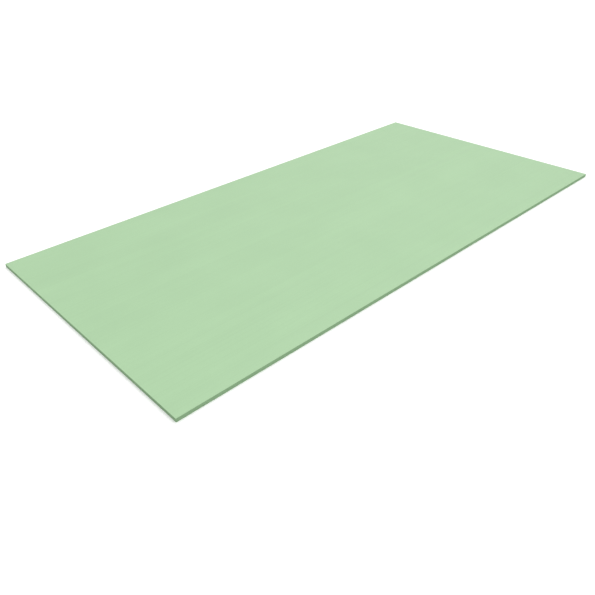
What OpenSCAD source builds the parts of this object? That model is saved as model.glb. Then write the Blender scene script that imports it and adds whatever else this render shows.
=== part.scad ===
// Rigid insulation board of extruded polystyrene foam (XPS): one flat sheet with two
// smooth skinned faces and four edges trimmed square. The trimming knives press the skin
// over a little, so each long, thin arris is slightly round.
//
// The origin is the centre of the underside. X runs along the length, which is the way
// the foam was extruded, Y across the width and Z up through the thickness.

/* [Board] */
// Length, along the extrusion
board_length = 1000; // [300:10:2500]
// Width, between the two trimmed long edges
board_width = 500; // [200:10:1250]
// Thickness, skin to skin
board_thickness = 6; // [2:0.5:120]

/* [Edges] */
// Radius of the arrises around both faces
arris_radius = 0.4; // [0.1:0.05:0.9]
// Radius of the four upright corners, seen from above
corner_radius = 0.8; // [0.1:0.1:20]

/* [Hidden] */
foam_green = [0.47, 0.68, 0.43];
$fn = 48;

// A rectangle centred on the origin, with a round of this radius at each corner.
module rounded_rectangle(size_x, size_y, radius) {
    square([size_x - 2 * radius, size_y], center = true);
    square([size_x, size_y - 2 * radius], center = true);
    for (side_x = [-1, 1], side_y = [-1, 1])
        translate([side_x * (size_x / 2 - radius), side_y * (size_y / 2 - radius)])
            circle(r = radius);
}

// The board's outline seen from above, as a prism through its thickness.
module plan_prism() {
    linear_extrude(board_thickness)
        rounded_rectangle(board_length, board_width, corner_radius);
}

// The board's cross-section, carried along X: it rounds the arrises of the long edges.
module long_edge_prism() {
    translate([0, 0, board_thickness / 2])
        rotate([90, 0, 90])
            linear_extrude(board_length, center = true)
                rounded_rectangle(board_width, board_thickness, arris_radius);
}

// The board's long section, carried along Y: it rounds the arrises of the short edges.
module short_edge_prism() {
    translate([0, 0, board_thickness / 2])
        rotate([90, 0, 0])
            linear_extrude(board_width, center = true)
                rounded_rectangle(board_length, board_thickness, arris_radius);
}

module board() {
    color(foam_green)
        intersection() {
            plan_prism();
            long_edge_prism();
            short_edge_prism();
        }
}

board();
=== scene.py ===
# Looks of a thin insulation board of extruded polystyrene (XPS) foam.
#
# The board is one piece. It is modelled in metres in the frame of the CAD model: X runs
# along the extrusion, Y across it and Z up, with the underside at Z = 0.
import math

import bpy
import numpy as np
from mathutils import Matrix, Vector


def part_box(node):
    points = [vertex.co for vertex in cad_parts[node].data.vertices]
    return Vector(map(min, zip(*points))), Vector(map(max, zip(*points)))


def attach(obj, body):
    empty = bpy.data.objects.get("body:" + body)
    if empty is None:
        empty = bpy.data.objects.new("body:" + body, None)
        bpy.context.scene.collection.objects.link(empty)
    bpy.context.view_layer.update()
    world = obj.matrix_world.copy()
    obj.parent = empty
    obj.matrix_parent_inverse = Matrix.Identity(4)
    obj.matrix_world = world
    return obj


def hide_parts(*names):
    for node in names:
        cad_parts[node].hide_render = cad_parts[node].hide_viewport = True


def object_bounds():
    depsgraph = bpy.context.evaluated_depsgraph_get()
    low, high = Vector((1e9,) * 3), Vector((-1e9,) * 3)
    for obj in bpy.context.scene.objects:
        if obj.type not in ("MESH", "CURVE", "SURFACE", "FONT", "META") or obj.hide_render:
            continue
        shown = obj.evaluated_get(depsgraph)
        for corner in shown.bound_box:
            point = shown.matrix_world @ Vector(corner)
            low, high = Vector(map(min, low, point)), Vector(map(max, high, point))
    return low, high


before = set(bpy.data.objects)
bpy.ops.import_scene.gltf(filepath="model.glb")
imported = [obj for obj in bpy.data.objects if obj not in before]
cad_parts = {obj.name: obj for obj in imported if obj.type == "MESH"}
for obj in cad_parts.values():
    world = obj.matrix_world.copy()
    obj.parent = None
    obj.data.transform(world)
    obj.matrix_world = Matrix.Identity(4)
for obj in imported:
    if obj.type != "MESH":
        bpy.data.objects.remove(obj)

CAD_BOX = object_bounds()
SEED = 11
MM = 0.001

# The board's edges, as in the CAD model.
ARRIS_RADIUS = 0.4 * MM
CORNER_RADIUS = 0.8 * MM

# How closely the mesh follows the board.
GRID_STEP = 8 * MM
ARRIS_STEPS = 4
EDGE_STEPS = 4

# The mesh attribute that tells the material how much of a place is cut foam, and not skin.
CUT_SHARE = "cut_foam"

# The bake map: the two faces over three rows of edges, in shares of its side.
MAP_NAME = "OFBake"  # the name of the bake map's UV layer; under this name the exporter keeps it
MAP_MARGIN = 0.003
MAP_EDGE_HEIGHT = 0.011

# Relief from its highest to its lowest point, and its shortest and longest wave.
SKIN_RELIEF = 0.10 * MM
SKIN_WAVES = (45 * MM, 220 * MM)
CUT_RELIEF = 0.14 * MM
CUT_WAVES = (36 * MM, 260 * MM)
RELIEF_WAVES = 24  # how many waves are summed

# Colours, in linear light.
SKIN_LIGHT = (0.402, 0.605, 0.367)
SKIN_SHADE = (0.380, 0.575, 0.347)
SKIN_CELL = (0.327, 0.510, 0.292)
# The cut colours are partly the cut foam's own duller tone and partly painted shade: darker for
# the shade that falls on the board's edges, and darkest at the pit centres for painted shade in
# the open cells.
CUT_WALL_WITH_PAINTED_SHADE = (0.228, 0.367, 0.208)
CUT_PIT_WITH_PAINTED_SHADE = (0.166, 0.279, 0.151)

# Patterns of the skin: how large they are along X, Y and Z, how deep, and how strong a tint.
CLOUD_SIZE = (110 * MM, 110 * MM, 110 * MM)
STREAK_SIZE = (770 * MM, 18 * MM, 18 * MM)
STREAK_DEPTH = 0.02 * MM
STREAK_SHARE = 0.5  # of the shading, and the clouds have the rest
DIE_LINE_SIZE = (830 * MM, 1.25 * MM, 1.25 * MM)
DIE_LINE_DEPTH = 0.006 * MM
DIE_LINE_TINT = 0.22
RIPPLE_SIZE = (13 * MM, 7.7 * MM, 7.7 * MM)
RIPPLE_DEPTH = 0.03 * MM
SKIN_CELL_SIZE = (0.75 * MM, 0.53 * MM, 0.53 * MM)
SKIN_CELL_DEPTH = 0.012 * MM
SKIN_CELL_TINT = 0.5

# Patterns of the cut foam.
CUT_CELL_SIZE = (0.45 * MM, 0.45 * MM, 0.45 * MM)
CUT_CELL_DEPTH = 0.12 * MM
# A cut cell's tone mixes a random tone of its own with the painted shade of its pit.
CUT_CELL_VARIETY = 0.3  # how much of a cell's shade is its own, and not from its pit
KNIFE_MARK_SIZE = (33 * MM, 33 * MM, 0.6 * MM)
KNIFE_MARK_DEPTH = 0.05 * MM
CUT_BEGINS = (0.2, 0.6)  # share of the arris's turn where cut foam starts and is whole

# How fine a noise is, and the stretch of each pattern's values over which it comes in.
PATTERN_DETAIL = 2.0
SHADE_RANGE = (0.35, 0.65)
SKIN_CELL_RANGE = (0.1, 0.55)
DIE_LINE_RANGE = (0.5, 0.7)
GLOSS_RANGE = (0.3, 0.7)
CUT_CELL_RANGE = (0.2, 0.55)

# Gloss.
SKIN_ROUGHNESS = (0.40, 0.50)
CUT_ROUGHNESS = 0.85
SPECULAR_LEVEL = 0.25

# The camera looks down at a point on the upper face, given from the board's centre.
CAMERA_AIM = (-230 * MM, -165.2 * MM)
CAMERA_DISTANCE = 909.5 * MM
CAMERA_HEADING = math.radians(42.1)  # from +Y towards +X
CAMERA_PITCH = math.radians(33.42)  # below the horizon
CAMERA_ROLL = math.radians(-1.74)
CAMERA_LENS = 37.4  # mm, on the usual 36 mm sensor

# The studio.
FLOOR_SIZE = 60.0
FLOOR_GAP = 0.2 * MM  # below the underside, so that the two don't share a plane
FLOOR_WHITE = (0.98, 0.98, 0.98)
FLOOR_GLOW = 0.12  # it glows a little, like a light table, so that shadows stay faint
KEY_STRENGTH = 0.8
KEY_HEADING = math.radians(60)  # the key light stands this way, from +Y towards +X
KEY_HEIGHT = math.radians(52)
KEY_SOFTNESS = math.radians(50)
FILL_STRENGTH = 1.2
FILL_HEADING = math.radians(160)
FILL_HEIGHT = math.radians(10)  # low, to light the edges on its side more than the upper face
FILL_SOFTNESS = math.radians(120)
SKY_HORIZON = (0.42, 0.42, 0.42)
SKY_ZENITH = (0.92, 0.92, 0.92)
SKY_ZENITH_HEIGHT = 0.8  # sine of the height from which the sky is as bright as overhead
BACKDROP = (1.0, 1.0, 1.0)


# ---------------------------------------------------------------- the board's mesh

def plan_lines(half, inset):
    """Grid lines along one axis. The two at each end cut the corners' arcs into four."""
    straight = half - CORNER_RADIUS
    steps = round(2 * straight / GRID_STEP)
    corner = (CORNER_RADIUS - inset) * np.array([math.tan(math.pi / 8), 1.0])
    middle = np.linspace(-straight, straight, steps + 1)
    return np.concatenate([-straight - corner[::-1], middle, straight + corner])


def plan_grid(half_x, half_y, inset):
    """Points of the board's plan, smaller by inset all round, with its corners rounded."""
    lines = plan_lines(half_x, inset), plan_lines(half_y, inset)
    points = np.stack(np.meshgrid(*lines, indexing="ij"), axis=-1)
    straight = np.array([half_x, half_y]) - CORNER_RADIUS
    over = np.maximum(np.abs(points) - straight, 0)
    reach = np.hypot(over[..., 0], over[..., 1])
    rounded = over * (over.max(axis=-1) / np.where(reach > 0, reach, 1))[..., None]
    return np.sign(points) * (np.minimum(np.abs(points), straight) + rounded)


def around(grid):
    """The outer points of a grid, counter-clockwise from its front left corner."""
    return np.concatenate([grid[:-1, 0], grid[-1, :-1], grid[:0:-1, -1], grid[0, :0:-1]])


def edge_profile(thickness):
    """Inset, height and share of cut foam at each ring round the edge, from the underside up."""
    turn = np.linspace(0, math.pi / 2, ARRIS_STEPS + 1)
    inset = ARRIS_RADIUS * (1 - np.sin(turn))
    height = ARRIS_RADIUS * (1 - np.cos(turn))
    cut = turn / turn[-1]
    rise = np.linspace(ARRIS_RADIUS, thickness - ARRIS_RADIUS, EDGE_STEPS + 1)[1:-1]
    return (
        np.concatenate([inset, np.zeros_like(rise), inset[::-1]]),
        np.concatenate([height, rise, thickness - height[::-1]]),
        np.concatenate([cut, np.ones_like(rise), cut[::-1]]),
    )


def relief(rng, points, shortest, longest):
    """Smooth random depths from 0 to 1 at these points: a sum of waves that run every way."""
    total = np.zeros(len(points))
    for _ in range(RELIEF_WAVES):
        length = shortest * (longest / shortest) ** rng.random()
        way = rng.normal(size=points.shape[1])
        way *= 2 * math.pi / length / np.linalg.norm(way)
        total += length * np.sin(points @ way + rng.uniform(0, 2 * math.pi))
    return (total - total.min()) / np.ptp(total)


def with_heights(plan, height):
    """Points of a plan, one after the other, at this height."""
    flat = plan.reshape(-1, 2)
    return np.column_stack([flat, np.full(len(flat), height)])


def panel(numbers, along, across, place):
    """Faces of a grid of vertex numbers, and their corners' places on the bake map.

    They face a viewer who sees the grid's first index run right and its second one run up.
    """
    left, bottom, width, height = place
    share = [(lines - lines[0]) / np.ptp(lines) for lines in (along, across)]
    u, v = np.meshgrid(left + width * share[0], bottom + height * share[1], indexing="ij")
    grid = np.arange(numbers.size).reshape(numbers.shape)
    corners = np.stack([grid[:-1, :-1], grid[1:, :-1], grid[1:, 1:], grid[:-1, 1:]], axis=-1)
    corners = corners.reshape(-1, 4)
    return numbers.reshape(-1)[corners], np.stack([u, v], axis=-1).reshape(-1, 2)[corners]


def map_places():
    """Left, bottom, width and height on the bake map of the underside, upper face and edges."""
    rows = MAP_MARGIN + np.arange(4) * (MAP_EDGE_HEIGHT + MAP_MARGIN)
    long, short = 1 - 2 * MAP_MARGIN, (1 - 3 * MAP_MARGIN) / 2
    face_height = (1 - rows[3] - 2 * MAP_MARGIN) / 2
    under = (MAP_MARGIN, rows[3], long, face_height)
    upper = (MAP_MARGIN, rows[3] + face_height + MAP_MARGIN, long, face_height)
    edges = (
        (MAP_MARGIN, rows[0], long, MAP_EDGE_HEIGHT),
        (MAP_MARGIN, rows[2], short, MAP_EDGE_HEIGHT),
        (MAP_MARGIN, rows[1], long, MAP_EDGE_HEIGHT),
        (2 * MAP_MARGIN + short, rows[2], short, MAP_EDGE_HEIGHT),
    )
    return under, upper, edges


def board_panels(under, upper, rings, lines):
    """Faces and map places of the underside, the upper face and the four edges."""
    under_place, upper_place, edge_places = map_places()
    facing_down = under[::-1]
    panels = [panel(facing_down, *lines, under_place), panel(upper, *lines, upper_place)]
    closed = np.column_stack([rings, rings[:, :1]])
    start = 0
    for side, place in enumerate(edge_places):
        end = start + len(lines[side % 2]) - 1
        numbers = closed[:, start : end + 1].T
        panels.append(panel(numbers, lines[side % 2], np.arange(len(rings)), place))
        start = end
    return [np.concatenate(parts) for parts in zip(*panels)]


def roughen(points, rings, outward, thickness):
    """Sinks the skins and the cut edges by their relief, so that they stay in the board's box."""
    rng = np.random.default_rng(SEED)
    rise = points[:, 2] / thickness
    upper_skin = SKIN_RELIEF * relief(rng, points[:, :2], *SKIN_WAVES)
    under_skin = SKIN_RELIEF * relief(rng, points[:, :2], *SKIN_WAVES)
    on_edge = np.concatenate(rings)
    cut = CUT_RELIEF * relief(rng, points[on_edge], *CUT_WAVES)
    points[on_edge, :2] -= np.tile(outward, (len(rings), 1)) * cut[:, None]
    points[:, 2] += under_skin * (1 - rise) - upper_skin * rise
    return points


def board_shape(half_x, half_y, thickness):
    """Vertices, faces, the faces' places on the bake map and each vertex's share of cut foam."""
    insets, heights, cut_shares = edge_profile(thickness)
    face = plan_grid(half_x, half_y, ARRIS_RADIUS)
    outlines = [around(plan_grid(half_x, half_y, inset)) for inset in insets]
    round_count = len(outlines[0])

    under = np.arange(face[..., 0].size).reshape(face.shape[:2])
    upper = under + under.size
    between = np.arange((len(insets) - 2) * round_count).reshape(-1, round_count)
    rings = np.stack([around(under), *(between + 2 * under.size), around(upper)])

    points = [with_heights(face, 0), with_heights(face, thickness)]
    points += [with_heights(o, z) for o, z in zip(outlines[1:-1], heights[1:-1])]
    points = np.concatenate(points)
    lines = plan_lines(half_x, ARRIS_RADIUS), plan_lines(half_y, ARRIS_RADIUS)
    faces, places = board_panels(under, upper, rings, lines)
    cut = np.concatenate([np.zeros(2 * under.size), np.repeat(cut_shares[1:-1], round_count)])

    outward = around(plan_grid(half_x, half_y, 0)) - outlines[0]
    outward /= np.linalg.norm(outward, axis=1)[:, None]
    return roughen(points, rings, outward, thickness), faces, places, cut


def build_board():
    """The board's mesh object, as large as its CAD node."""
    low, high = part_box("board")
    size = high - low
    points, faces, places, cut = board_shape(size.x / 2, size.y / 2, size.z)
    points += np.array([(low.x + high.x) / 2, (low.y + high.y) / 2, low.z])
    mesh = bpy.data.meshes.new("foam_board")
    mesh.from_pydata(points.tolist(), [], faces.tolist())
    mesh.attributes.new(CUT_SHARE, "FLOAT", "POINT").data.foreach_set("value", cut)
    mesh.uv_layers.new(name=MAP_NAME).uv.foreach_set("vector", places.ravel())
    mesh.polygons.foreach_set("use_smooth", [True] * len(mesh.polygons))
    mesh.validate()
    board = bpy.data.objects.new("foam_board", mesh)
    bpy.context.scene.collection.objects.link(board)
    return board


# ---------------------------------------------------------------- materials

def opaque(colour):
    """The colour with its alpha, as a shader's sockets take it."""
    return (*colour, 1.0)


def node(tree, kind, inputs=None, **settings):
    """A new shader node. Inputs, by name, are values or the sockets to link to."""
    made = tree.nodes.new(kind)
    for name, value in settings.items():
        setattr(made, name, value)
    for key, value in (inputs or {}).items():
        if isinstance(value, bpy.types.NodeSocket):
            tree.links.new(value, made.inputs[key])
        else:
            made.inputs[key].default_value = value
    return made


def sized(tree, place, size):
    """Coordinates in which a feature of this size along X, Y and Z is one unit large."""
    scale = [1 / length for length in size]
    inputs = {"Vector": place, "Scale": scale}
    return node(tree, "ShaderNodeMapping", inputs).outputs["Vector"]


def noise(tree, place, size):
    """Smooth noise around a half, with features of this size."""
    inputs = {"Vector": sized(tree, place, size), "Scale": 1.0, "Detail": PATTERN_DETAIL}
    return node(tree, "ShaderNodeTexNoise", inputs).outputs["Fac"]


def cells(tree, place, size):
    """Distance from the middle of each cell, and a random share for each cell."""
    inputs = {"Vector": sized(tree, place, size), "Scale": 1.0}
    made = node(tree, "ShaderNodeTexVoronoi", inputs)
    share = node(tree, "ShaderNodeSeparateXYZ", {"Vector": made.outputs["Color"]})
    return made.outputs["Distance"], share.outputs["X"]


def spread(tree, value, ends, to_ends=(0.0, 1.0)):
    """The value with the range between two ends taken to another range, and held there."""
    inputs = {
        "Value": value,
        "From Min": ends[0],
        "From Max": ends[1],
        "To Min": to_ends[0],
        "To Max": to_ends[1],
    }
    return node(tree, "ShaderNodeMapRange", inputs).outputs["Result"]


def mixed(tree, kind, share, first, second):
    """What lies this share of the way between two numbers, vectors or colours."""
    inputs = {"Factor": share, "A": first, "B": second}
    return node(tree, "ShaderNodeMix", inputs, data_type=kind).outputs["Result"]


def bump(tree, height, distance, normal=None):
    """A normal with a pattern of heights on it: the surface's own, unless one is given."""
    inputs = {"Height": height, "Distance": distance}
    if normal is not None:
        inputs["Normal"] = normal
    return node(tree, "ShaderNodeBump", inputs).outputs["Normal"]


def skin_finish(tree, place):
    """Colour, roughness and normal of the skin, which the die has drawn out along X."""
    clouds = noise(tree, place, CLOUD_SIZE)
    streaks = noise(tree, place, STREAK_SIZE)
    lines = noise(tree, place, DIE_LINE_SIZE)
    ripple = noise(tree, place, RIPPLE_SIZE)
    cell, _ = cells(tree, place, SKIN_CELL_SIZE)

    shade = spread(tree, mixed(tree, "FLOAT", STREAK_SHARE, clouds, streaks), SHADE_RANGE)
    colour = mixed(tree, "RGBA", shade, opaque(SKIN_SHADE), opaque(SKIN_LIGHT))
    cell_tint = spread(tree, cell, SKIN_CELL_RANGE, (SKIN_CELL_TINT, 0.0))
    colour = mixed(tree, "RGBA", cell_tint, colour, opaque(SKIN_CELL))
    line_tint = spread(tree, lines, DIE_LINE_RANGE, (0.0, DIE_LINE_TINT))
    colour = mixed(tree, "RGBA", line_tint, colour, opaque(SKIN_CELL))
    roughness = spread(tree, streaks, GLOSS_RANGE, SKIN_ROUGHNESS)
    normal = bump(tree, streaks, STREAK_DEPTH)
    normal = bump(tree, ripple, RIPPLE_DEPTH, normal)
    normal = bump(tree, lines, DIE_LINE_DEPTH, normal)
    normal = bump(tree, cell, SKIN_CELL_DEPTH, normal)
    return colour, roughness, normal


def cut_finish(tree, place):
    """Colour, roughness and normal of the trimmed edges: open cells, and the knife's marks. The
    colour is partly painted shade: darker pit centres, and a darker tone for the shade on the
    edges.
    """
    cell, own_shade = cells(tree, place, CUT_CELL_SIZE)
    marks = noise(tree, place, KNIFE_MARK_SIZE)
    # painted shade: each open cell is darker towards its centre, as shade in its pit
    painted_pit_shade = spread(tree, cell, CUT_CELL_RANGE)
    shade = mixed(tree, "FLOAT", CUT_CELL_VARIETY, painted_pit_shade, own_shade)
    colour = mixed(tree, "RGBA", shade, opaque(CUT_PIT_WITH_PAINTED_SHADE), opaque(CUT_WALL_WITH_PAINTED_SHADE))
    normal = bump(tree, marks, KNIFE_MARK_DEPTH)
    normal = bump(tree, cell, CUT_CELL_DEPTH, normal)
    return colour, CUT_ROUGHNESS, normal


def foam_material():
    """Closed-cell foam: a satin skin, and dull open cells where it is cut, coloured darker with
    painted shade.
    """
    material = bpy.data.materials.new("xps_foam")
    material.use_nodes = True
    tree = material.node_tree
    shader = tree.nodes["Principled BSDF"]
    place = node(tree, "ShaderNodeTexCoord").outputs["Object"]
    cut = node(tree, "ShaderNodeAttribute", attribute_name=CUT_SHARE).outputs["Fac"]
    is_cut = spread(tree, cut, CUT_BEGINS)

    skin_colour, skin_roughness, skin_normal = skin_finish(tree, place)
    cut_colour_and_painted_shade, cut_roughness, cut_normal = cut_finish(tree, place)
    # the cut edges take the cut colour, which holds painted shade
    colour = mixed(tree, "RGBA", is_cut, skin_colour, cut_colour_and_painted_shade)
    roughness = mixed(tree, "FLOAT", is_cut, skin_roughness, cut_roughness)
    normal = mixed(tree, "VECTOR", is_cut, skin_normal, cut_normal)
    tree.links.new(colour, shader.inputs["Base Color"])
    tree.links.new(roughness, shader.inputs["Roughness"])
    tree.links.new(normal, shader.inputs["Normal"])
    shader.inputs["Specular IOR Level"].default_value = SPECULAR_LEVEL
    return material


# ---------------------------------------------------------------- the studio

def add_camera():
    """A camera at its distance from its aim, turned by its heading, pitch and roll."""
    low, high = CAD_BOX
    middle = (low + high) / 2
    aim = Vector((middle.x + CAMERA_AIM[0], middle.y + CAMERA_AIM[1], high.z))
    place = (
        Matrix.Translation(aim)
        @ Matrix.Rotation(-CAMERA_HEADING, 4, "Z")
        @ Matrix.Rotation(math.pi / 2 - CAMERA_PITCH, 4, "X")
        @ Matrix.Rotation(CAMERA_ROLL, 4, "Z")
        @ Matrix.Translation((0, 0, CAMERA_DISTANCE))
    )
    data = bpy.data.cameras.new("camera")
    data.lens = CAMERA_LENS
    camera = bpy.data.objects.new("camera", data)
    camera.matrix_world = place
    bpy.context.scene.collection.objects.link(camera)
    bpy.context.scene.camera = camera


def add_floor():
    """A plain white floor, far wider than the board, that casts back nearly all light."""
    half = FLOOR_SIZE / 2
    corners = [(-half, -half), (half, -half), (half, half), (-half, half)]
    mesh = bpy.data.meshes.new("studio_floor")
    mesh.from_pydata([(x, y, CAD_BOX[0].z - FLOOR_GAP) for x, y in corners], [], [(0, 1, 2, 3)])
    floor = bpy.data.objects.new("studio_floor", mesh)
    bpy.context.scene.collection.objects.link(floor)
    material = bpy.data.materials.new("studio_floor")
    material.use_nodes = True
    shader = material.node_tree.nodes["Principled BSDF"]
    shader.inputs["Base Color"].default_value = opaque(FLOOR_WHITE)
    shader.inputs["Roughness"].default_value = 1.0
    shader.inputs["Specular IOR Level"].default_value = 0.0
    shader.inputs["Emission Color"].default_value = opaque(FLOOR_WHITE)
    shader.inputs["Emission Strength"].default_value = FLOOR_GLOW
    mesh.materials.append(material)


def add_light(name, strength, heading, height, softness):
    """A wide, distant light that stands this way and so high above the horizon."""
    data = bpy.data.lights.new(name, "SUN")
    data.energy = strength
    data.angle = softness
    light = bpy.data.objects.new(name, data)
    light.rotation_euler = (height - math.pi / 2, 0, -heading)
    bpy.context.scene.collection.objects.link(light)


def add_sky():
    """Even light from all round, brighter overhead, with a white backdrop behind the floor."""
    world = bpy.data.worlds.new("studio")
    world.use_nodes = True
    tree = world.node_tree
    way = node(tree, "ShaderNodeTexCoord").outputs["Generated"]
    height = node(tree, "ShaderNodeSeparateXYZ", {"Vector": way}).outputs["Z"]
    rise = spread(tree, height, (0.0, SKY_ZENITH_HEIGHT))
    light = mixed(tree, "RGBA", rise, opaque(SKY_HORIZON), opaque(SKY_ZENITH))
    seen = node(tree, "ShaderNodeLightPath").outputs["Is Camera Ray"]
    colour = mixed(tree, "RGBA", seen, light, opaque(BACKDROP))
    tree.links.new(colour, tree.nodes["Background"].inputs["Color"])
    bpy.context.scene.world = world


# ---------------------------------------------------------------- the scene

bpy.context.scene.view_settings.view_transform = "Standard"
add_camera()
add_floor()
add_light("key_light", KEY_STRENGTH, KEY_HEADING, KEY_HEIGHT, KEY_SOFTNESS)
add_light("fill_light", FILL_STRENGTH, FILL_HEADING, FILL_HEIGHT, FILL_SOFTNESS)
add_sky()

board = build_board()
board.data.materials.append(foam_material())
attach(board, "root")
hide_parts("board")
